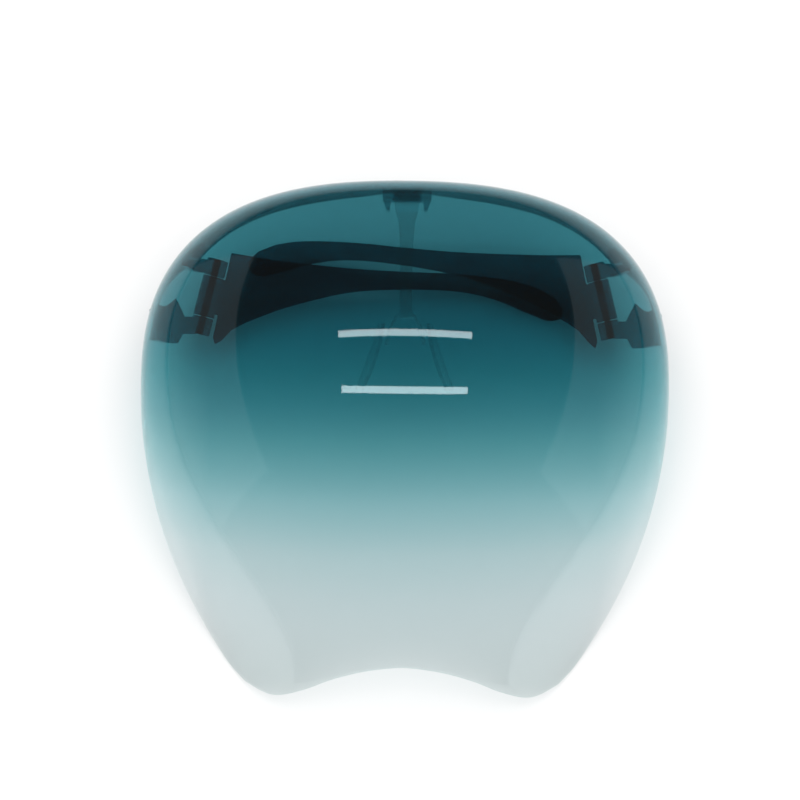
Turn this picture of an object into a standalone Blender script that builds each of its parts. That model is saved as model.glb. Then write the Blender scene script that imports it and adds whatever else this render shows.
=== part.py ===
"""A bubble face shield with folding temples and a clip-in nosepiece, lying face up.

Everything is modelled in the wearer's axes: X to one side, Y from the front of the bubble back
towards the ears, Z up. One empty then lays the whole shield down on its temples and chin corners.
"""

import math

import bmesh
import bpy
import numpy as np
from mathutils import Matrix, Vector

MM = 0.001

# Bubble: a dome about the point (0, DOME_DEPTH, DOME_HEIGHT), held in by a rounded outline.
DOME_DEPTH = 80.0
DOME_HEIGHT = 5.0
DOME_HALF_WIDTH = 115.0
DOME_REACH_UP = 102.0
DOME_REACH_DOWN = 143.0
DOME_SHOULDER = 0.1
BROW_HEIGHT = 73.0
CHIN_DROP = 118.0
OUTLINE_HALF_WIDTH = 107.0
OUTLINE_RISE = 78.6
OUTLINE_DROP = 260.0
OUTLINE_POWER = 2.83
BROW_FOLD = 15
ROOF_START = 30.0
ROOF_TAPER = 0.001
SHELL_THICKNESS = 2.0
COLUMNS = 18
ROWS = 31

# Cut edges of one half, as (degrees round from the front, degrees up) seen from the dome's centre.
BROW_EDGE = [(0, 74.5), (27, 74.5), (52, 73), (69, 68), (80, 61), (86, 53), (90, 46), (93, 38), (95, 30)]
SIDE_EDGE = [(70, -60.6), (76, -56.5), (78, -50), (76, -40), (74, -30), (73, -20), (73.5, -10)]
SIDE_EDGE += [(76, 0), (78.5, 8), (79.5, 16), (82, 22), (88, 27), (95, 30)]
CHIN_EDGE = [(0, -64), (16, -64.3), (30, -64.6), (44, -64.8), (58, -63.8), (70, -60.6)]

# Hinges: each axis leans in at the top. Heights are along Z.
HINGE_X = 80.4
HINGE_DEPTH = 88.0
HINGE_HEIGHT = 39.0
HINGE_CANT = math.radians(14)
EAR_RADIUS = 4.3
UPPER_EAR = (49.0, 55.7)
LOWER_EAR = (25.4, 32.4)
PIN_RADIUS = 1.2
PIN_REACH = 5.0
RUNNING_GAP = 0.35
ARM_THICKNESS = 2.4
ARM_RELIEF = 1.3
ARM_STEPS = 12
ARM_INSET = (2.0, 0.2)
LOWER_BAND = (18, 44)
FIN_DEPTH = 78.0
FIN_REACH = 50.0
BORE_MARGIN = 2.0
UPPER_ARM = [(85.2, 56), (85.9, 66), (85.6, 76), (85.1, 81.5), (83.8, 85.8)]
LOWER_ARM = [(97.0, 54), (97.2, 64), (97.2, 74), (96.2, 80.5), (93.4, 85.4), (89, 87.6)]
FIN = [(112, 21.5), (112, 30), (99.5, 31.6), (92.8, 39.6), (89.4, 32.4), (76, 32.4), (76, 25.4), (90, 25.4)]
FIN += [(92, 21.5)]

# Temples, as (distance in from the hinge, height).
TEMPLE_THICKNESS = 2.6
TEMPLE_LEAN = math.radians(7)
TEMPLE_TOP = [(28, 59.3), (58, 60.4), (81, 62.3), (97, 64), (113, 65), (126, 65), (135, 63.8), (143, 60.8)]
TEMPLE_TIP = [(146.6, 57.0), (146.9, 53.5), (145, 51.2), (140.4, 50.4)]
TEMPLE_BOTTOM = [(130, 53), (121.8, 55.4), (112, 57), (103.6, 57.2), (94, 56.6), (81, 55), (66, 52.4)]
TEMPLE_BOTTOM += [(55, 49.6), (43, 45.2), (31, 40.2), (20, 34.4), (12, 29)]
TEMPLE_HEAD = (5.4, 59.2)
TEMPLE_HEEL = [(5.4, 24.0), (6.6, 21.4), (8.6, 23.8)]
TEMPLE_DROP = {"left": 0.122, "right": 0.0}
TEMPLE_EDGE = 0.5
TAB_TOP = 47.425
TAB_FOOT = 33.31
LEAN_REACH = 30.0

# Nosepiece and its socket under the brow.
SOCKET_HALF_WIDTH = 9.0
SOCKET_FRONT = 33.0
SOCKET_REAR = 38.8
SOCKET_TOP = 77.8
SOCKET_BAR = 73.2
SLOT_HALF_WIDTH = 5.4
SLOT_WALLS = (1.2, 1.4)
PRONG_TOP = 75.0
PRONG = [(0, 71.2), (0.4, 70.0), (1.1, 69.6), (1.8, 70.0)]
PRONG_INSET = 0.9
PRONG_WIDTH = 3.2
PRONG_DEPTH = 5.4
CHANNEL_X = 7.1
CHANNEL_HALF_WIDTH = 1.1
CHANNEL_FLOOR = 1.4
STEM = [(76.6, 35.9, 4.5), (73.4, 35.9, 4.5), (70.6, 36.0, 4.5), (68.0, 36.5, 3.6), (64.5, 37.6, 2.9)]
STEM += [(55, 40.6, 2.4), (45, 45.2, 2.4), (36, 49.6, 2.4), (31.0, 52.0, 2.6)]
STEM_THICKNESS = 1.6
PAD_LINE = [(6.7, 29.0), (7.9, 23.0), (9.7, 16.5), (11.7, 10.0), (14.2, 3.6)]
PAD_FRONT = 52.0
PAD_DEPTH = 11.0
PAD_FLARE = 0.34
PAD_THICKNESS = 1.3
PAD_OFFSET = 1.35
PAD_ENDS = (0.16, 0.72)
PAD_ROUNDING = 0.6
BRACE_LINE = [(1.2, 52.0, 33.5), (3.6, 53.0, 31.4), (5.6, 54.6, 28.0), (6.3, 56.6, 24.6), (7.3, 57.6, 21.0)]
BRACE_RADIUS = 0.85

# Lying face up: turned back from upright by a right angle less the rake of its rear points.
LYING_RAKE = math.radians(17.6)

SIDES = {"left": -1, "right": 1}


def clear_scene():
    for obj in list(bpy.data.objects):
        bpy.data.objects.remove(obj, do_unlink=True)


def make_collection(name):
    collection = bpy.data.collections.new(name)
    bpy.context.scene.collection.children.link(collection)
    return collection


def make_material(name, colour, roughness, transmission):
    material = bpy.data.materials.new(name)
    material.use_nodes = True
    shader = material.node_tree.nodes["Principled BSDF"]
    shader.inputs["Base Color"].default_value = (*colour, 1.0)
    shader.inputs["Roughness"].default_value = roughness
    shader.inputs["Metallic"].default_value = 0.0
    shader.inputs["Transmission Weight"].default_value = transmission
    material.diffuse_color = (*colour, 1.0)
    return material


def new_object(name, mesh, collection, material=None):
    obj = bpy.data.objects.new(name, mesh)
    collection.objects.link(obj)
    if material:
        mesh.materials.clear()
        mesh.materials.append(material)
    return obj


def object_from_bmesh(name, bm, collection, material=None):
    bmesh.ops.remove_doubles(bm, verts=bm.verts, dist=1e-6)
    bmesh.ops.recalc_face_normals(bm, faces=bm.faces)
    mesh = bpy.data.meshes.new(name)
    bm.to_mesh(mesh)
    bm.free()
    return new_object(name, mesh, collection, material)


def as_mesh(obj, collection):
    """A new mesh object with obj's evaluated shape, in place of obj, with its placing applied."""
    graph = bpy.context.evaluated_depsgraph_get()
    graph.update()
    mesh = bpy.data.meshes.new_from_object(obj.evaluated_get(graph))
    mesh.transform(obj.matrix_world)
    bm = bmesh.new()
    bm.from_mesh(mesh)
    bmesh.ops.remove_doubles(bm, verts=bm.verts, dist=1e-6)
    bmesh.ops.recalc_face_normals(bm, faces=bm.faces)
    bm.to_mesh(mesh)
    bm.free()
    made = bpy.data.objects.new(obj.name + "_mesh", mesh)
    collection.objects.link(made)
    bpy.data.objects.remove(obj, do_unlink=True)
    return made


def apply_boolean(obj, other, operation, cutters):
    modifier = obj.modifiers.new(operation.lower(), "BOOLEAN")
    modifier.operation = operation
    modifier.object = other
    modifier.solver = "EXACT"
    other.hide_render = True
    other.display_type = "WIRE"
    made = as_mesh(obj, cutters)
    bpy.data.objects.remove(other, do_unlink=True)
    return made


def finish_part(obj, name, parts, material, angle=35):
    """Moves a worked mesh out of the cutters' collection and names it as a part."""
    for collection in list(obj.users_collection):
        collection.objects.unlink(obj)
    parts.objects.link(obj)
    obj.name = name
    obj.data.name = name
    obj.data.materials.clear()
    obj.data.materials.append(material)
    obj.data.shade_smooth()
    obj.data.set_sharp_from_angle(angle=math.radians(angle))
    return obj


def smooth_run(points, count):
    """count points evenly along a Catmull-Rom curve through the given ones."""
    known = np.array(points, float)
    ends = [2 * known[0] - known[1], *known, 2 * known[-1] - known[-2]]
    dense = []
    for i in range(1, len(ends) - 2):
        a, b, c, d = ends[i - 1], ends[i], ends[i + 1], ends[i + 2]
        for t in np.linspace(0, 1, 24, endpoint=False):
            bend = (2 * a - 5 * b + 4 * c - d) * t**2 + (3 * b - a - 3 * c + d) * t**3
            dense.append(0.5 * (2 * b + (c - a) * t + bend))
    dense = np.array([*dense, known[-1]])
    steps = np.linalg.norm(np.diff(dense, axis=0), axis=1)
    along = np.concatenate([[0], np.cumsum(steps)])
    wanted = np.linspace(0, along[-1], count)
    return np.stack([np.interp(wanted, along, dense[:, k]) for k in range(dense.shape[1])], axis=1)


def rise_terms():
    """The quartic in height that gives the dome its brow and its longer fall to the chin."""
    up, down = BROW_HEIGHT, CHIN_DROP
    rows = [[up**2, up**3, up**4], [2 * up, 3 * up**2, 4 * up**3], [down**2, -(down**3), down**4]]
    wanted = [(up / DOME_REACH_UP) ** 2, 2 * up / DOME_REACH_UP**2, (down / DOME_REACH_DOWN) ** 2]
    return np.linalg.solve(np.array(rows), np.array(wanted))


def bubble_level(x, depth, height, terms):
    """Below 1 inside the bubble, 1 on its outer surface, all in millimetres."""
    rise = height - DOME_HEIGHT
    across = (x / DOME_HALF_WIDTH) ** 2
    upward = terms[0] * rise**2 + terms[1] * rise**3 + terms[2] * rise**4
    forward = ((DOME_DEPTH - depth) / DOME_DEPTH) ** 2
    dome = np.sqrt(np.maximum(across + upward - DOME_SHOULDER * across * upward + forward, 1e-9))
    reach = np.where(rise > 0, OUTLINE_RISE, OUTLINE_DROP)
    outline = np.abs(x / OUTLINE_HALF_WIDTH) ** OUTLINE_POWER + np.abs(rise / reach) ** OUTLINE_POWER
    outline = outline ** (1 / OUTLINE_POWER) * (1 + ROOF_TAPER * np.maximum(depth - ROOF_START, 0))
    return (dome**BROW_FOLD + outline**BROW_FOLD) ** (1 / BROW_FOLD)


def bubble_points(turn, climb):
    """Points of the outer surface, in metres, for angles in degrees seen from the dome's centre."""
    turn, climb = np.radians(turn), np.radians(climb)
    across = np.cos(climb) * np.sin(turn)
    back = -np.cos(climb) * np.cos(turn)
    up = np.sin(climb)
    terms = rise_terms()
    near, far = np.zeros_like(turn), np.full_like(turn, 300.0)
    for _ in range(40):
        middle = (near + far) / 2
        level = bubble_level(middle * across, DOME_DEPTH + middle * back, DOME_HEIGHT + middle * up, terms)
        near = np.where(level < 1, middle, near)
        far = np.where(level < 1, far, middle)
    points = [near * across, DOME_DEPTH + near * back, DOME_HEIGHT + near * up]
    return np.stack(points, axis=-1) * MM


def half_grid():
    """Angles over one half of the bubble: a Coons patch between its four edges."""
    chin = smooth_run(CHIN_EDGE, COLUMNS + 1)
    brow = smooth_run(BROW_EDGE, COLUMNS + 1)
    side = smooth_run(SIDE_EDGE, ROWS + 1)
    middle = np.stack([np.zeros(ROWS + 1), np.linspace(chin[0, 1], brow[0, 1], ROWS + 1)], axis=1)
    u = np.linspace(0, 1, COLUMNS + 1)[None, :, None]
    v = np.linspace(0, 1, ROWS + 1)[:, None, None]
    across = (1 - v) * chin[None] + v * brow[None]
    upward = (1 - u) * middle[:, None] + u * side[:, None]
    corners = (1 - u) * (1 - v) * chin[0] + u * (1 - v) * chin[-1] + (1 - u) * v * brow[0] + u * v * brow[-1]
    return across + upward - corners


def bubble_shell(cutters):
    angles = half_grid()
    points = bubble_points(angles[..., 0], angles[..., 1])
    points[:, 0, 0] = 0.0
    bm = bmesh.new()
    verts = [[bm.verts.new(point) for point in row] for row in points]
    for low, high in zip(verts, verts[1:]):
        for i in range(COLUMNS):
            bm.faces.new((low[i], low[i + 1], high[i + 1], high[i]))
    shell = object_from_bmesh("bubble", bm, cutters)
    if shell.data.polygons[0].normal.y > 0:
        shell.data.flip_normals()
    mirror = shell.modifiers.new("other_half", "MIRROR")
    mirror.merge_threshold = 0.00005
    solid = shell.modifiers.new("wall", "SOLIDIFY")
    solid.thickness = SHELL_THICKNESS * MM
    solid.offset = -1
    return as_mesh(shell, cutters)


def outline_prism(name, outline, depth, thickness, collection, bevel=0.0):
    """A flat outline in the X-Z plane, in millimetres, with its thickness along Y about depth."""
    curve = bpy.data.curves.new(name, "CURVE")
    curve.dimensions = "2D"
    curve.fill_mode = "BOTH"
    curve.extrude = thickness * MM / 2
    spline = curve.splines.new("POLY")
    spline.points.add(len(outline) - 1)
    for point, (x, z) in zip(spline.points, outline):
        point.co = (x * MM, z * MM, 0, 1)
    spline.use_cyclic_u = True
    obj = bpy.data.objects.new(name, curve)
    obj.matrix_world = Matrix.Translation((0, depth * MM, 0)) @ Matrix.Rotation(math.pi / 2, 4, "X")
    collection.objects.link(obj)
    made = as_mesh(obj, collection)
    if bevel:
        rounding = made.modifiers.new("edges", "BEVEL")
        rounding.width = bevel * MM
        rounding.segments = 1
        rounding.limit_method = "ANGLE"
        rounding.angle_limit = math.radians(60)
        made = as_mesh(made, collection)
    return made


def ribbon(name, path, low, high, thickness, collection):
    """A band standing on edge: it follows path, (x, depth) in millimetres, from low to high."""
    run = smooth_run(path, ARM_STEPS)
    ahead = np.gradient(run, axis=0)
    ahead /= np.linalg.norm(ahead, axis=1)[:, None]
    sideways = np.stack([ahead[:, 1], -ahead[:, 0]], axis=1) * thickness / 2
    loop = np.concatenate([run + sideways, (run - sideways)[::-1]])
    curve = bpy.data.curves.new(name, "CURVE")
    curve.dimensions = "2D"
    curve.fill_mode = "BOTH"
    curve.extrude = (high - low) * MM / 2
    spline = curve.splines.new("POLY")
    spline.points.add(len(loop) - 1)
    for point, (x, y) in zip(spline.points, loop):
        point.co = (x * MM, y * MM, 0, 1)
    spline.use_cyclic_u = True
    obj = bpy.data.objects.new(name, curve)
    obj.matrix_world = Matrix.Translation((0, 0, (low + high) * MM / 2))
    collection.objects.link(obj)
    return as_mesh(obj, collection)


def box(name, low, high, collection):
    bm = bmesh.new()
    bmesh.ops.create_cube(bm, size=1)
    size = (Vector(high) - Vector(low)) * MM
    middle = (Vector(high) + Vector(low)) * MM / 2
    bmesh.ops.transform(bm, matrix=Matrix.LocRotScale(middle, None, size), verts=bm.verts)
    return object_from_bmesh(name, bm, collection)


def hinge_matrix(side):
    """The hinge's own axes: its Z runs up along the pin."""
    lean = Matrix.Rotation(-SIDES[side] * HINGE_CANT, 4, "Y")
    return Matrix.Translation(Vector((SIDES[side] * HINGE_X, HINGE_DEPTH, HINGE_HEIGHT)) * MM) @ lean


def along_pin(height):
    """Distance up the pin from the hinge's centre to a height."""
    return (height - HINGE_HEIGHT) / math.cos(HINGE_CANT)


def barrel(name, side, radius, low, high, collection, segments=28):
    """A cylinder on the hinge's axis between two heights."""
    start, end = along_pin(low), along_pin(high)
    bm = bmesh.new()
    bmesh.ops.create_cone(
        bm,
        cap_ends=True,
        segments=segments,
        radius1=radius * MM,
        radius2=radius * MM,
        depth=(end - start) * MM,
    )
    place = hinge_matrix(side) @ Matrix.Translation((0, 0, (start + end) * MM / 2))
    bmesh.ops.transform(bm, matrix=place, verts=bm.verts)
    return object_from_bmesh(name, bm, collection)


def mirrored(points, side):
    return [(SIDES[side] * x, y) for x, y in points]


def arm_end(heights):
    """Where an arm meets its ear, as (x, depth)."""
    middle = (heights[0] + heights[1]) / 2
    return (HINGE_X - (middle - HINGE_HEIGHT) * math.tan(HINGE_CANT) + ARM_INSET[0], HINGE_DEPTH - ARM_INSET[1])


def upper_arm(side, cutters):
    path = mirrored([*UPPER_ARM, arm_end(UPPER_EAR)], side)
    return ribbon("upper_arm", path, UPPER_EAR[0] + ARM_RELIEF, UPPER_EAR[1], ARM_THICKNESS, cutters)


def lower_arm(side, cutters):
    """The lower arm, whose root spreads into a fin up the side wall."""
    path = mirrored([*LOWER_ARM, arm_end(LOWER_EAR)], side)
    band = ribbon("lower_arm", path, *LOWER_BAND, ARM_THICKNESS, cutters)
    outline = outline_prism("fin_outline", mirrored(FIN, side), FIN_DEPTH, FIN_REACH, cutters)
    return apply_boolean(band, outline, "INTERSECT", cutters)


def shield(parts, cutters, material):
    shell = bubble_shell(cutters)
    for side in SIDES:
        shell = apply_boolean(shell, upper_arm(side, cutters), "UNION", cutters)
        shell = apply_boolean(shell, lower_arm(side, cutters), "UNION", cutters)
        for ear in (UPPER_EAR, LOWER_EAR):
            shell = apply_boolean(shell, barrel("ear", side, EAR_RADIUS, *ear, cutters), "UNION", cutters)
            bore = barrel("bore", side, PIN_RADIUS + RUNNING_GAP, ear[0] - BORE_MARGIN, ear[1] + BORE_MARGIN, cutters)
            shell = apply_boolean(shell, bore, "DIFFERENCE", cutters)
    return finish_part(shell, "shield", parts, material)


def temple_outline(side):
    slope = math.tan(HINGE_CANT)
    root = TEMPLE_HEAD[0]
    run = smooth_run([TEMPLE_HEAD, *TEMPLE_TOP], 18)
    tip = smooth_run([TEMPLE_TOP[-1], *TEMPLE_TIP], 7)[1:]
    under = smooth_run([TEMPLE_TIP[-1], *TEMPLE_BOTTOM, TEMPLE_HEEL[2]], 26)[1:]
    drop = TEMPLE_DROP[side]
    loop = [(r, z - drop * r) for r, z in [*run, *tip, *under]]
    loop += [TEMPLE_HEEL[1], TEMPLE_HEEL[0], (root, TAB_FOOT), (0.0, TAB_FOOT), (0.0, TAB_TOP), (root, TAB_TOP)]
    placed = []
    for inward, height in loop:
        lean = (height - HINGE_HEIGHT) * slope * max(0, 1 - inward / LEAN_REACH)
        placed.append((SIDES[side] * (HINGE_X - inward - lean), height))
    return placed


def temple(side, parts, cutters, material):
    blade = outline_prism("blade", temple_outline(side), 0, TEMPLE_THICKNESS, cutters, bevel=TEMPLE_EDGE)
    pivot = Vector((SIDES[side] * HINGE_X, 0, 0)) * MM
    lean = Matrix.Rotation(-SIDES[side] * TEMPLE_LEAN, 4, "Z")
    place = Matrix.Translation((0, HINGE_DEPTH * MM, 0)) @ Matrix.Translation(pivot)
    blade.data.transform(place @ lean @ Matrix.Translation(-pivot))
    low, high = LOWER_EAR[1] + RUNNING_GAP, UPPER_EAR[0] - RUNNING_GAP
    blade = apply_boolean(blade, barrel("knuckle", side, EAR_RADIUS, low, high, cutters), "UNION", cutters)
    bore = barrel("bore", side, PIN_RADIUS + RUNNING_GAP, low - BORE_MARGIN, high + BORE_MARGIN, cutters)
    blade = apply_boolean(blade, bore, "DIFFERENCE", cutters)
    return finish_part(blade, "temple_" + side, parts, material)


def hinge_pin(side, which, parts, material):
    """A headless pin through one ear into the temple's knuckle."""
    if which == "upper":
        low, high = UPPER_EAR[0] - PIN_REACH, UPPER_EAR[1]
    else:
        low, high = LOWER_EAR[0], LOWER_EAR[1] + PIN_REACH
    pin = barrel("hinge_pin", side, PIN_RADIUS, low, high, parts, segments=20)
    return finish_part(pin, "hinge_pin_" + which + "_" + side, parts, material)


def nose_socket(parts, cutters, material):
    """Two channels, a crossbar and two prongs, with a slot for the nosepiece's tongue."""
    w, slot = SOCKET_HALF_WIDTH, SLOT_HALF_WIDTH
    body = box("socket", (-w, SOCKET_FRONT, SOCKET_BAR), (w, SOCKET_REAR, SOCKET_TOP), cutters)
    for sign in (-1, 1):
        prong = [(sign * (w - PRONG_WIDTH), PRONG_TOP), (sign * w, PRONG_TOP)]
        prong += [(sign * (w - PRONG_INSET - inward), height) for inward, height in PRONG]
        leg = outline_prism("prong", prong, (SOCKET_FRONT + SOCKET_REAR) / 2, PRONG_DEPTH, cutters)
        body = apply_boolean(body, leg, "UNION", cutters)
        low = (sign * CHANNEL_X - CHANNEL_HALF_WIDTH, SOCKET_FRONT - 1, SOCKET_BAR + CHANNEL_FLOOR)
        high = (sign * CHANNEL_X + CHANNEL_HALF_WIDTH, SOCKET_REAR - SLOT_WALLS[1], SOCKET_TOP + 1)
        body = apply_boolean(body, box("channel", low, high, cutters), "DIFFERENCE", cutters)
    low = (-slot, SOCKET_FRONT + SLOT_WALLS[0], SOCKET_BAR - 1)
    high = (slot, SOCKET_REAR - SLOT_WALLS[1], SOCKET_TOP + 1)
    tongue = box("slot", low, high, cutters)
    return finish_part(apply_boolean(body, tongue, "DIFFERENCE", cutters), "nose_socket", parts, material)


def strap(name, stations, thickness, collection):
    """A flat strap across X through (height, depth, half width) stations."""
    run = smooth_run(stations, 22)
    bm = bmesh.new()
    rows = []
    for height, depth, half in run:
        rows.append([bm.verts.new(Vector((s * half, depth, height)) * MM) for s in (-1, -0.4, 0.4, 1)])
    for low, high in zip(rows, rows[1:]):
        for i in range(3):
            bm.faces.new((low[i], low[i + 1], high[i + 1], high[i]))
    obj = object_from_bmesh(name, bm, collection)
    solid = obj.modifiers.new("wall", "SOLIDIFY")
    solid.thickness = thickness * MM
    solid.offset = 0
    return as_mesh(obj, collection)


def brace(side, cutters):
    """The short diagonal from the stem's foot to one pad."""
    sign = SIDES[side]
    curve = bpy.data.curves.new("brace", "CURVE")
    curve.dimensions = "3D"
    curve.bevel_depth = BRACE_RADIUS * MM
    curve.bevel_resolution = 2
    curve.use_fill_caps = True
    spline = curve.splines.new("POLY")
    spline.points.add(len(BRACE_LINE) - 1)
    for point, (x, y, z) in zip(spline.points, BRACE_LINE):
        point.co = (sign * x * MM, y * MM, z * MM, 1)
    obj = bpy.data.objects.new("brace", curve)
    cutters.objects.link(obj)
    return as_mesh(obj, cutters)


def nosepiece(parts, cutters, material):
    stem = strap("stem", STEM, STEM_THICKNESS, cutters)
    for side in SIDES:
        stem = apply_boolean(stem, brace(side, cutters), "UNION", cutters)
    return finish_part(stem, "nosepiece_stem", parts, material)


def nose_pad(side, parts, cutters, material):
    """A thin leaf that opens towards the face and spreads towards its foot."""
    line = smooth_run(PAD_LINE, 12)
    bm = bmesh.new()
    rows = []
    for i, (x, z) in enumerate(line):
        share = i / (len(line) - 1)
        reach = PAD_DEPTH * math.sin(math.pi * (PAD_ENDS[0] + PAD_ENDS[1] * share)) ** PAD_ROUNDING
        middle = PAD_FRONT + PAD_DEPTH / 2
        row = []
        for j in range(6):
            depth = middle + reach * (j / 5 - 0.5)
            out = x + PAD_OFFSET + PAD_FLARE * (depth - PAD_FRONT) * (0.6 + 0.4 * share)
            row.append(bm.verts.new(Vector((SIDES[side] * out, depth, z)) * MM))
        rows.append(row)
    for low, high in zip(rows, rows[1:]):
        for j in range(5):
            bm.faces.new((low[j], low[j + 1], high[j + 1], high[j]))
    pad = object_from_bmesh("pad", bm, cutters)
    solid = pad.modifiers.new("wall", "SOLIDIFY")
    solid.thickness = PAD_THICKNESS * MM
    solid.offset = 0
    return finish_part(as_mesh(pad, cutters), "nose_pad_" + side, parts, material)


def hang_on(obj, parent):
    """Parents obj in place, with its own origin moved to the parent's."""
    obj.data.transform(parent.matrix_world.inverted() @ obj.matrix_world)
    obj.parent = parent
    obj.matrix_parent_inverse = Matrix.Identity(4)
    obj.matrix_basis = Matrix.Identity(4)


def new_empty(name, parts, matrix, parent=None):
    empty = bpy.data.objects.new(name, None)
    parts.objects.link(empty)
    empty.empty_display_size = 0.01
    empty.parent = parent
    empty.matrix_local = matrix
    return empty


def lay_down(root):
    """Turns the root face up and seats the parts' box on the floor, centred on the origin."""
    root.matrix_local = Matrix.Rotation(-math.pi / 2 + LYING_RAKE, 4, "X")
    bpy.context.view_layer.update()
    corners = []
    for obj in bpy.data.objects:
        if obj.type == "MESH":
            corners += [obj.matrix_world @ vertex.co for vertex in obj.data.vertices]
    points = np.array(corners)
    low, high = points.min(axis=0), points.max(axis=0)
    root.location = (0, -(low[1] + high[1]) / 2, -low[2])
    bpy.context.view_layer.update()


def build():
    clear_scene()
    parts = make_collection("bubble_face_shield")
    cutters = make_collection("cutters")
    tint = make_material("tinted_shell", (0.03, 0.23, 0.27), 0.05, 0.9)
    dark = make_material("temple_tint", (0.02, 0.12, 0.16), 0.12, 0.6)
    clear = make_material("clear_plastic", (0.85, 0.93, 0.94), 0.08, 0.9)
    pin = make_material("pin_plastic", (0.05, 0.08, 0.09), 0.3, 0.0)

    fixed = [shield(parts, cutters, tint), nose_socket(parts, cutters, dark)]
    fixed.append(nosepiece(parts, cutters, clear))
    fixed += [nose_pad(side, parts, cutters, clear) for side in SIDES]
    fixed += [hinge_pin(side, which, parts, pin) for side in SIDES for which in ("upper", "lower")]
    temples = {side: temple(side, parts, cutters, dark) for side in SIDES}

    root = new_empty("face_axes", parts, Matrix.Identity(4))
    hinges = {side: new_empty("hinge_" + side, parts, hinge_matrix(side), root) for side in SIDES}
    bpy.context.view_layer.update()
    for obj in fixed:
        hang_on(obj, root)
    for side, obj in temples.items():
        hang_on(obj, hinges[side])
    lay_down(root)


build()
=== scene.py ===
"""The look of the bubble face shield: a finer tinted shell, its plastics, floor, lights and camera."""

import math

import bmesh
import bpy
import numpy as np
from mathutils import Matrix, Vector


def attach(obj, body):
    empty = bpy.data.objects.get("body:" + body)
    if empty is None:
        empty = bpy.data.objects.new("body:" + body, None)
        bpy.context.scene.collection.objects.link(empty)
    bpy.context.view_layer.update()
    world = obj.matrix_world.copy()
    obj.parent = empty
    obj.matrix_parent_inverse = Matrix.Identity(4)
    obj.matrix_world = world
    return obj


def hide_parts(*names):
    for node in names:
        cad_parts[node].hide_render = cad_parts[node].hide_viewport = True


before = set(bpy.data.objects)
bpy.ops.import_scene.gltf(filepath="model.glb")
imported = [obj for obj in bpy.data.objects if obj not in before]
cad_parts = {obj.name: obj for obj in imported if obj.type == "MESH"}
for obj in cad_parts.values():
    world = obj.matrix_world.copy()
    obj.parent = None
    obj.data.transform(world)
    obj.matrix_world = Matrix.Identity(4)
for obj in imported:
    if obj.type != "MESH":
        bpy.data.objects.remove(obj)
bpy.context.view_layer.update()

MM = 0.001

# Bubble, in the wearer's axes and millimetres: X to a side, Y back from the front, Z up.
DOME_DEPTH = 80.0
DOME_HEIGHT = 5.0
DOME_HALF_WIDTH = 115.0
DOME_REACH_UP = 102.0
DOME_REACH_DOWN = 143.0
DOME_SHOULDER = 0.1
BROW_HEIGHT = 73.0
CHIN_DROP = 118.0
OUTLINE_HALF_WIDTH = 107.0
OUTLINE_RISE = 78.6
OUTLINE_DROP = 260.0
OUTLINE_POWER = 2.83
BROW_FOLD = 15
ROOF_START = 30.0
ROOF_TAPER = 0.001
SHELL_THICKNESS = 2.0
COLUMNS = 44
ROWS = 78
EDGE_ROUNDING = 0.35
# The sheet's edges, as (turn, climb) in degrees seen from the dome's centre.
BROW_EDGE = [(0, 74.5), (27, 74.5), (52, 73), (69, 68), (80, 61), (86, 53)]
BROW_EDGE += [(90, 46), (93, 38), (95, 30)]
SIDE_EDGE = [(70, -60.6), (76, -56.5), (78, -50), (76, -40), (74, -30), (73, -20), (73.5, -10)]
SIDE_EDGE += [(76, 0), (78.5, 8), (79.5, 16), (82, 22), (88, 27), (95, 30)]
CHIN_EDGE = [(0, -64), (16, -64.3), (30, -64.6), (44, -64.8), (58, -63.8), (70, -60.6)]

# Hinges and arms.
HINGE_X = 80.4
HINGE_DEPTH = 88.0
HINGE_HEIGHT = 39.0
HINGE_CANT = math.radians(14)
EAR_RADIUS = 4.3
UPPER_EAR = (49.0, 55.7)
LOWER_EAR = (25.4, 32.4)
PIN_RADIUS = 1.2
RUNNING_GAP = 0.35
ARM_THICKNESS = 2.4
ARM_RELIEF = 1.3
ARM_STEPS = 28
ARM_INSET = (2.0, 0.2)
ARM_ROUNDING = 0.4
LOWER_BAND = (18, 44)
FIN_DEPTH = 78.0
FIN_REACH = 50.0
BORE_MARGIN = 2.0
# The arms' centre lines, as (x, depth), and the outline of the lower arm's root, as (x, height).
UPPER_ARM = [(85.2, 56), (85.9, 66), (85.6, 76), (85.1, 81.5), (83.8, 85.8)]
LOWER_ARM = [(97.0, 54), (97.2, 64), (97.2, 74), (96.2, 80.5), (93.4, 85.4), (89, 87.6)]
FIN = [(112, 21.5), (112, 30), (99.5, 31.6), (92.8, 39.6), (89.4, 32.4)]
FIN += [(76, 32.4), (76, 25.4), (90, 25.4), (92, 21.5)]
SIDES = {"left": -1, "right": 1}

# Where the wearer's axes lie once the shield is face up, in metres.
LYING_PLACE = (0, -0.001903, 0.091696)
LYING = Matrix.Translation(LYING_PLACE) @ Matrix.Rotation(math.radians(-72.4), 4, "X")

# How finely the shapes are worked out.
CURVE_STEPS = 24
HALVINGS = 40
SEARCH_REACH = 300.0
BARREL_SIDES = 56
WELD = 1e-6
SHARP_ANGLE = math.radians(32)

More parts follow.
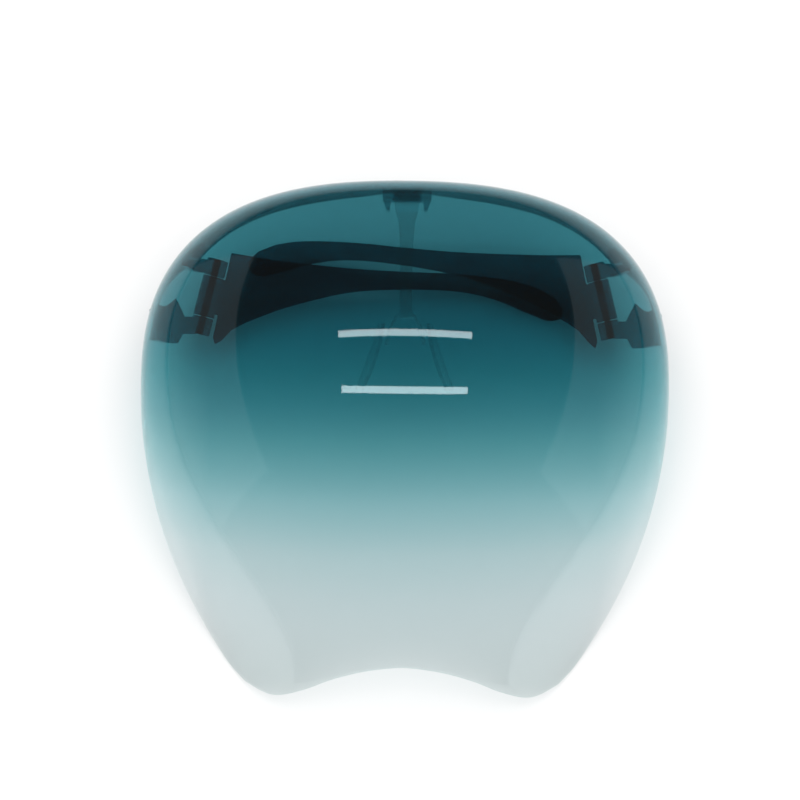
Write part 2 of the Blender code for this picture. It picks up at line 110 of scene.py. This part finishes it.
# The tint filters light at each face of the wall, by height up the shield in metres, as a share of
# TINT_LOW to TINT_HIGH. The dye drifts up and down by TINT_DRIFT.
TINT_LOW, TINT_HIGH = -0.112, 0.078
TINT_DRIFT = 0.0025
TINT_CLOUDS = 14.0
TINT = [
    (0.00, (0.86, 0.89, 0.89)),
    (0.20, (0.87, 0.90, 0.905)),
    (0.30, (0.86, 0.90, 0.905)),
    (0.40, (0.76, 0.865, 0.875)),
    (0.50, (0.57, 0.77, 0.785)),
    (0.57, (0.42, 0.68, 0.71)),
    (0.64, (0.29, 0.61, 0.645)),
    (0.69, (0.24, 0.56, 0.605)),
    (0.80, (0.20, 0.47, 0.515)),
    (1.00, (0.18, 0.43, 0.475)),
]

# The other plastics: two colours that each drifts between, and how fine the drift is.
TEMPLE_TINT = ((0.19, 0.38, 0.43), (0.24, 0.43, 0.48), 60.0)
CLEAR_TINT = ((0.90, 0.95, 0.955), (0.94, 0.97, 0.975), 80.0)
SOCKET_TINT = ((0.50, 0.66, 0.69), (0.56, 0.71, 0.74), 60.0)
PIN_COLOUR = ((0.035, 0.06, 0.07), (0.055, 0.085, 0.095), 900.0)
PIN_ROUGHNESS = 0.3

# The share of light reflected face on, and how it rises to the share reflected at a grazing angle.
PLASTIC_GLOSS = 0.035
CLEAR_GLOSS = 0.12
GRAZING_GLOSS = 0.85
GLOSS_RISE = 5.0
SHELL_ROUGHNESS = 0.02
MOULDED_ROUGHNESS = 0.05
CLEAR_ROUGHNESS = 0.2

# The tent, in metres. A lamp's glow is in watts per square metre and steradian. The room is dim in
# reflections, and pale where it is seen past the floor.
FLOOR_HALF_SIZE = 4.0
FLOOR_COLOUR = (0.9, 0.9, 0.9, 1)
FLOOR_ROUGHNESS = 0.6
ROOM_GLOW = 0.12
BACKDROP_GLOW = 0.9
OVERHEAD_HEIGHT = 1.7
OVERHEAD_SIZE = (2.0, 2.0)
OVERHEAD_GLOW = 3.0
WALL_X = 1.0
WALL_HEIGHT = 0.4
WALL_AIM = (0, 0, 0.1)
WALL_SIZE = (1.6, 0.7)
WALL_GLOW = 0.37
STRIP_ROWS = (0.035, -0.375)
STRIP_HEIGHT = 1.2
STRIP_SIZE = (0.8, 0.05)
STRIP_GLOW = 9

# The camera, in millimetres and in the wearer's axes.
CAMERA_LENS = 67.4
SENSOR_WIDTH = 36.0
CAMERA_PLACE = (-1.8, -520, -0.4)
CAMERA_ROLL = math.radians(0.64)
CLIP_START = 0.01


def link(obj):
    bpy.context.scene.collection.objects.link(obj)
    return obj


def object_from_bmesh(name, bm):
    bmesh.ops.remove_doubles(bm, verts=bm.verts, dist=WELD)
    bmesh.ops.recalc_face_normals(bm, faces=bm.faces)
    mesh = bpy.data.meshes.new(name)
    bm.to_mesh(mesh)
    bm.free()
    return link(bpy.data.objects.new(name, mesh))


def as_mesh(obj):
    """A new mesh object with obj's evaluated shape, in place of obj, with its placing applied."""
    bpy.context.view_layer.update()
    graph = bpy.context.evaluated_depsgraph_get()
    mesh = bpy.data.meshes.new_from_object(obj.evaluated_get(graph))
    mesh.transform(obj.matrix_world)
    name = obj.name
    bpy.data.objects.remove(obj, do_unlink=True)
    bm = bmesh.new()
    bm.from_mesh(mesh)
    bmesh.ops.remove_doubles(bm, verts=bm.verts, dist=WELD)
    bmesh.ops.recalc_face_normals(bm, faces=bm.faces)
    bm.to_mesh(mesh)
    bm.free()
    return link(bpy.data.objects.new(name, mesh))


def apply_boolean(obj, other, operation):
    modifier = obj.modifiers.new(operation.lower(), "BOOLEAN")
    modifier.operation = operation
    modifier.object = other
    modifier.solver = "EXACT"
    modifier.use_self = True
    made = as_mesh(obj)
    bpy.data.objects.remove(other, do_unlink=True)
    return made


def rounded(obj, width, angle=50, segments=2):
    """obj with its edges sharper than angle rounded off by width, in millimetres."""
    bevel = obj.modifiers.new("edges", "BEVEL")
    bevel.width = width * MM
    bevel.segments = segments
    bevel.limit_method = "ANGLE"
    bevel.angle_limit = math.radians(angle)
    return as_mesh(obj)


def smooth_run(points, count):
    """count points evenly along a Catmull-Rom curve through the given ones."""
    known = np.array(points, float)
    ends = [2 * known[0] - known[1], *known, 2 * known[-1] - known[-2]]
    dense = []
    for i in range(1, len(ends) - 2):
        a, b, c, d = ends[i - 1], ends[i], ends[i + 1], ends[i + 2]
        for t in np.linspace(0, 1, CURVE_STEPS, endpoint=False):
            bend = (2 * a - 5 * b + 4 * c - d) * t**2 + (3 * b - a - 3 * c + d) * t**3
            dense.append(0.5 * (2 * b + (c - a) * t + bend))
    dense = np.array([*dense, known[-1]])
    steps = np.linalg.norm(np.diff(dense, axis=0), axis=1)
    along = np.concatenate([[0], np.cumsum(steps)])
    wanted = np.linspace(0, along[-1], count)
    return np.stack([np.interp(wanted, along, column) for column in dense.T], axis=1)


def rise_terms():
    """The quartic in height that gives the dome its brow and its longer fall to the chin."""
    up, down = BROW_HEIGHT, CHIN_DROP
    rows = [[up**2, up**3, up**4], [2 * up, 3 * up**2, 4 * up**3], [down**2, -(down**3), down**4]]
    wanted = [(up / DOME_REACH_UP) ** 2, 2 * up / DOME_REACH_UP**2, (down / DOME_REACH_DOWN) ** 2]
    return np.linalg.solve(np.array(rows), np.array(wanted))


def bubble_level(x, depth, height, terms):
    """Below 1 inside the bubble and 1 on its outer surface, all in millimetres."""
    rise = height - DOME_HEIGHT
    across = (x / DOME_HALF_WIDTH) ** 2
    upward = terms[0] * rise**2 + terms[1] * rise**3 + terms[2] * rise**4
    forward = ((DOME_DEPTH - depth) / DOME_DEPTH) ** 2
    dome = np.sqrt(np.maximum(across + upward - DOME_SHOULDER * across * upward + forward, 1e-9))
    reach = np.where(rise > 0, OUTLINE_RISE, OUTLINE_DROP)
    outline = np.abs(x / OUTLINE_HALF_WIDTH) ** OUTLINE_POWER + np.abs(rise / reach) ** OUTLINE_POWER
    outline = outline ** (1 / OUTLINE_POWER)
    outline = outline * (1 + ROOF_TAPER * np.maximum(depth - ROOF_START, 0))
    return (dome**BROW_FOLD + outline**BROW_FOLD) ** (1 / BROW_FOLD)


def bubble_points(turn, climb):
    """Points of the outer surface, in metres, for angles in degrees seen from the dome's centre."""
    turn, climb = np.radians(turn), np.radians(climb)
    across = np.cos(climb) * np.sin(turn)
    back = -np.cos(climb) * np.cos(turn)
    up = np.sin(climb)
    terms = rise_terms()
    near, far = np.zeros_like(turn), np.full_like(turn, SEARCH_REACH)
    for _ in range(HALVINGS):
        middle = (near + far) / 2
        depth, height = DOME_DEPTH + middle * back, DOME_HEIGHT + middle * up
        level = bubble_level(middle * across, depth, height, terms)
        near = np.where(level < 1, middle, near)
        far = np.where(level < 1, far, middle)
    points = [near * across, DOME_DEPTH + near * back, DOME_HEIGHT + near * up]
    return np.stack(points, axis=-1) * MM


def half_grid():
    """Angles over one half of the bubble: a Coons patch between its four edges."""
    chin = smooth_run(CHIN_EDGE, COLUMNS + 1)
    brow = smooth_run(BROW_EDGE, COLUMNS + 1)
    side = smooth_run(SIDE_EDGE, ROWS + 1)
    climb = np.linspace(chin[0, 1], brow[0, 1], ROWS + 1)
    middle = np.stack([np.zeros(ROWS + 1), climb], axis=1)
    u = np.linspace(0, 1, COLUMNS + 1)[None, :, None]
    v = np.linspace(0, 1, ROWS + 1)[:, None, None]
    across = (1 - v) * chin[None] + v * brow[None]
    upward = (1 - u) * middle[:, None] + u * side[:, None]
    low = (1 - u) * (1 - v) * chin[0] + u * (1 - v) * chin[-1]
    return across + upward - (low + (1 - u) * v * brow[0] + u * v * brow[-1])


def bubble_shell():
    angles = half_grid()
    points = bubble_points(angles[..., 0], angles[..., 1])
    points[:, 0, 0] = 0.0
    bm = bmesh.new()
    verts = [[bm.verts.new(point) for point in row] for row in points]
    for low, high in zip(verts, verts[1:]):
        for i in range(COLUMNS):
            bm.faces.new((low[i], low[i + 1], high[i + 1], high[i]))
    shell = object_from_bmesh("bubble", bm)
    if shell.data.polygons[0].normal.y > 0:
        shell.data.flip_normals()
    mirror = shell.modifiers.new("other_half", "MIRROR")
    mirror.merge_threshold = 0.00005
    solid = shell.modifiers.new("wall", "SOLIDIFY")
    solid.thickness = SHELL_THICKNESS * MM
    solid.offset = -1
    return rounded(as_mesh(shell), EDGE_ROUNDING, angle=60)


def flat_block(name, outline, thickness, place):
    """A closed outline in millimetres, thickened evenly to both sides and placed."""
    curve = bpy.data.curves.new(name, "CURVE")
    curve.dimensions = "2D"
    curve.fill_mode = "BOTH"
    curve.extrude = thickness * MM / 2
    spline = curve.splines.new("POLY")
    spline.points.add(len(outline) - 1)
    for point, (x, y) in zip(spline.points, outline):
        point.co = (x * MM, y * MM, 0, 1)
    spline.use_cyclic_u = True
    obj = bpy.data.objects.new(name, curve)
    obj.matrix_world = place
    return as_mesh(link(obj))


def outline_prism(name, outline, depth, thickness):
    """An outline in the X-Z plane, with its thickness along Y about depth, in millimetres."""
    upright = Matrix.Rotation(math.pi / 2, 4, "X")
    return flat_block(name, outline, thickness, Matrix.Translation((0, depth * MM, 0)) @ upright)


def ribbon(name, path, low, high, thickness):
    """A band standing on edge: it follows path, (x, depth) in millimetres, from low to high."""
    run = smooth_run(path, ARM_STEPS)
    ahead = np.gradient(run, axis=0)
    ahead /= np.linalg.norm(ahead, axis=1)[:, None]
    sideways = np.stack([ahead[:, 1], -ahead[:, 0]], axis=1) * thickness / 2
    loop = np.concatenate([run + sideways, (run - sideways)[::-1]])
    return flat_block(name, loop, high - low, Matrix.Translation((0, 0, (low + high) * MM / 2)))


def along_pin(height):
    """How far along the canted hinge's axis a height lies, from the hinge's middle."""
    return (height - HINGE_HEIGHT) / math.cos(HINGE_CANT)


def barrel(name, side, radius, low, high, edge=0.0):
    """A cylinder on the hinge's axis between two heights."""
    start, end = along_pin(low), along_pin(high)
    bm = bmesh.new()
    bmesh.ops.create_cone(
        bm,
        cap_ends=True,
        segments=BARREL_SIDES,
        radius1=radius * MM,
        radius2=radius * MM,
        depth=(end - start) * MM,
    )
    lean = Matrix.Rotation(-SIDES[side] * HINGE_CANT, 4, "Y")
    hinge = Matrix.Translation(Vector((SIDES[side] * HINGE_X, HINGE_DEPTH, HINGE_HEIGHT)) * MM) @ lean
    place = hinge @ Matrix.Translation((0, 0, (start + end) * MM / 2))
    bmesh.ops.transform(bm, matrix=place, verts=bm.verts)
    made = object_from_bmesh(name, bm)
    return rounded(made, edge) if edge else made


def mirrored(points, side):
    return [(SIDES[side] * x, y) for x, y in points]


def arm_end(heights):
    """Where an arm meets its ear, as (x, depth)."""
    middle = (heights[0] + heights[1]) / 2
    x = HINGE_X - (middle - HINGE_HEIGHT) * math.tan(HINGE_CANT)
    return (x + ARM_INSET[0], HINGE_DEPTH - ARM_INSET[1])


def upper_arm(side):
    path = mirrored([*UPPER_ARM, arm_end(UPPER_EAR)], side)
    arm = ribbon("upper_arm", path, UPPER_EAR[0] + ARM_RELIEF, UPPER_EAR[1], ARM_THICKNESS)
    return rounded(arm, ARM_ROUNDING)


def lower_arm(side):
    """The lower arm, whose root spreads into a fin up the side wall."""
    path = mirrored([*LOWER_ARM, arm_end(LOWER_EAR)], side)
    band = ribbon("lower_arm", path, *LOWER_BAND, ARM_THICKNESS)
    outline = outline_prism("fin_outline", mirrored(FIN, side), FIN_DEPTH, FIN_REACH)
    return rounded(apply_boolean(band, outline, "INTERSECT"), ARM_ROUNDING)


def fine_shell():
    """The bubble with its arms and hinge ears, in one mesh."""
    shell = bubble_shell()
    for side in SIDES:
        arms = apply_boolean(upper_arm(side), lower_arm(side), "UNION")
        for ear in (UPPER_EAR, LOWER_EAR):
            rim = barrel("ear", side, EAR_RADIUS, *ear, edge=ARM_ROUNDING)
            arms = apply_boolean(arms, rim, "UNION")
            low, high = ear[0] - BORE_MARGIN, ear[1] + BORE_MARGIN
            bore = barrel("bore", side, PIN_RADIUS + RUNNING_GAP, low, high)
            arms = apply_boolean(arms, bore, "DIFFERENCE")
        shell = apply_boolean(shell, arms, "UNION")
    shell.name = "tinted_shell"
    shell.data.name = "tinted_shell"
    shell.data.shade_smooth()
    shell.data.set_sharp_from_angle(angle=SHARP_ANGLE)
    shell.matrix_world = LYING
    return shell


class Nodes:
    """A material's nodes, added with their inputs in one call."""

    def __init__(self, name):
        self.material = bpy.data.materials.new(name)
        self.material.use_nodes = True
        self.tree = self.material.node_tree
        self.tree.nodes.clear()
        self.out = self.tree.nodes.new("ShaderNodeOutputMaterial")

    def add(self, kind, links=(), **values):
        node = self.tree.nodes.new(kind)
        for key, value in values.items():
            setattr(node, key, value)
        for socket, source in dict(links).items():
            if isinstance(source, bpy.types.NodeSocket):
                self.tree.links.new(source, node.inputs[socket])
            else:
                node.inputs[socket].default_value = source
        return node

    def surface(self, source):
        self.tree.links.new(source, self.out.inputs["Surface"])
        return self.material

    def ramp(self, factor, stops):
        node = self.add("ShaderNodeValToRGB", {"Fac": factor})
        elements = node.color_ramp.elements
        while len(elements) < len(stops):
            elements.new(0.5)
        for element, (position, colour) in zip(elements, stops):
            element.position = position
            element.color = (*colour, 1.0)
        return node.outputs["Color"]


def sheer(name, colour_of, gloss, roughness):
    """A see-through plastic: what shows through takes the colour, and the surface adds its gloss.

    gloss is the share reflected face on. It rises towards the edges alike on both sides of a wall.
    """
    nodes = Nodes(name)
    colour = colour_of(nodes)
    through = nodes.add("ShaderNodeBsdfTransparent", {"Color": colour})
    shine = nodes.add("ShaderNodeBsdfGlossy", {"Color": (1, 1, 1, 1), "Roughness": roughness})
    facing = nodes.add("ShaderNodeLayerWeight", {"Blend": 0.5}).outputs["Facing"]
    rise = nodes.add("ShaderNodeMath", {0: facing, 1: GLOSS_RISE}, operation="POWER").outputs[0]
    share = nodes.add("ShaderNodeMapRange", {0: rise, 3: gloss, 4: GRAZING_GLOSS}).outputs[0]
    mix = nodes.add("ShaderNodeMixShader", {0: share, 1: through.outputs[0], 2: shine.outputs[0]})
    return nodes.surface(mix.outputs[0])


def shell_tint(nodes):
    """Deep at the brow and fading down past the nose to nearly clear, with a slightly uneven dye."""
    place = nodes.add("ShaderNodeTexCoord").outputs["Object"]
    height = nodes.add("ShaderNodeSeparateXYZ", {0: place}).outputs["Z"]
    cloud = nodes.add("ShaderNodeTexNoise", {"Vector": place, "Scale": TINT_CLOUDS, "Detail": 2.0})
    shift = nodes.add("ShaderNodeMapRange", {0: cloud.outputs["Fac"], 3: -TINT_DRIFT, 4: TINT_DRIFT})
    moved = nodes.add("ShaderNodeMath", {0: height, 1: shift.outputs[0]}, operation="ADD")
    share = nodes.add("ShaderNodeMapRange", {0: moved.outputs[0], 1: TINT_LOW, 2: TINT_HIGH})
    return nodes.ramp(share.outputs[0], TINT)


def mottled(low, high, scale):
    """A colour that drifts a little between two values through the plastic."""

    def colour_of(nodes):
        place = nodes.add("ShaderNodeTexCoord").outputs["Object"]
        cloud = nodes.add("ShaderNodeTexNoise", {"Vector": place, "Scale": scale, "Detail": 3.0})
        share = nodes.add("ShaderNodeMapRange", {0: cloud.outputs["Fac"], 1: 0.3, 2: 0.7})
        return nodes.ramp(share.outputs[0], [(0.0, low), (1.0, high)])

    return colour_of


def pin_plastic():
    nodes = Nodes("pin_plastic")
    look = {"Base Color": mottled(*PIN_COLOUR)(nodes), "Roughness": PIN_ROUGHNESS}
    shader = nodes.add("ShaderNodeBsdfPrincipled", look)
    return nodes.surface(shader.outputs[0])


def floor_material():
    nodes = Nodes("floor")
    look = {"Base Color": FLOOR_COLOUR, "Roughness": FLOOR_ROUGHNESS}
    shader = nodes.add("ShaderNodeBsdfPrincipled", look)
    return nodes.surface(shader.outputs[0])


def dress(node, material):
    """Gives one of the CAD's nodes its material."""
    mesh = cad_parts[node].data
    mesh.materials.clear()
    mesh.materials.append(material)


def make_floor():
    bm = bmesh.new()
    bmesh.ops.create_grid(bm, x_segments=1, y_segments=1, size=FLOOR_HALF_SIZE)
    floor = object_from_bmesh("floor", bm)
    floor.data.materials.append(floor_material())


def area_lamp(name, place, target, size, glow, in_gloss=True):
    """A soft box that faces its target."""
    data = bpy.data.lights.new(name, "AREA")
    data.shape = "RECTANGLE"
    data.size, data.size_y = size
    data.energy = glow * math.pi * size[0] * size[1]
    lamp = link(bpy.data.objects.new(name, data))
    lamp.location = place
    lamp.rotation_euler = (Vector(target) - Vector(place)).to_track_quat("-Z", "Y").to_euler()
    lamp.visible_glossy = in_gloss


def make_room():
    world = bpy.data.worlds.new("room")
    world.use_nodes = True
    tree = world.node_tree
    background = tree.nodes["Background"].inputs
    background["Color"].default_value = (1, 1, 1, 1)
    strength = tree.nodes.new("ShaderNodeMapRange")
    strength.inputs["To Min"].default_value = ROOM_GLOW
    strength.inputs["To Max"].default_value = BACKDROP_GLOW
    seen = tree.nodes.new("ShaderNodeLightPath").outputs["Is Camera Ray"]
    tree.links.new(seen, strength.inputs["Value"])
    tree.links.new(strength.outputs["Result"], background["Strength"])
    bpy.context.scene.world = world
    bpy.context.scene.view_settings.view_transform = "Standard"


def make_lamps():
    """A white tent: even light from above, soft walls at the sides and two strip lamps."""
    floor = (0, 0, 0)
    area_lamp("overhead", (0, 0, OVERHEAD_HEIGHT), floor, OVERHEAD_SIZE, OVERHEAD_GLOW, in_gloss=False)
    for side in SIDES.values():
        area_lamp("wall", (side * WALL_X, 0, WALL_HEIGHT), WALL_AIM, WALL_SIZE, WALL_GLOW)
    for row in STRIP_ROWS:
        area_lamp("strip", (0, row, STRIP_HEIGHT), floor, STRIP_SIZE, STRIP_GLOW)


def make_camera():
    """Looks straight at the front of the bubble, as the shield lies on its back."""
    data = bpy.data.cameras.new("camera")
    data.lens = CAMERA_LENS
    data.sensor_width = SENSOR_WIDTH
    data.clip_start = CLIP_START
    camera = link(bpy.data.objects.new("camera", data))
    facing = Matrix.Rotation(math.pi / 2, 4, "X") @ Matrix.Rotation(CAMERA_ROLL, 4, "Z")
    camera.matrix_world = LYING @ Matrix.Translation(Vector(CAMERA_PLACE) * MM) @ facing
    bpy.context.scene.camera = camera


def make_shell():
    shell = fine_shell()
    shell.data.materials.clear()
    shell.data.materials.append(sheer("shell_tint", shell_tint, PLASTIC_GLOSS, SHELL_ROUGHNESS))
    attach(shell, "shield")
    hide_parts("shield")


def dress_nodes():
    temple = sheer("temple_tint", mottled(*TEMPLE_TINT), PLASTIC_GLOSS, MOULDED_ROUGHNESS)
    clear = sheer("clear_plastic", mottled(*CLEAR_TINT), CLEAR_GLOSS, CLEAR_ROUGHNESS)
    socket = sheer("socket_tint", mottled(*SOCKET_TINT), PLASTIC_GLOSS, MOULDED_ROUGHNESS)
    for side in SIDES:
        dress("temple_" + side, temple)
        dress("nose_pad_" + side, clear)
    dress("nosepiece_stem", clear)
    dress("nose_socket", socket)
    pins = pin_plastic()
    for side in SIDES:
        for which in ("upper", "lower"):
            dress("hinge_pin_" + which + "_" + side, pins)


def main():
    make_shell()
    dress_nodes()
    make_floor()
    make_room()
    make_lamps()
    make_camera()


main()
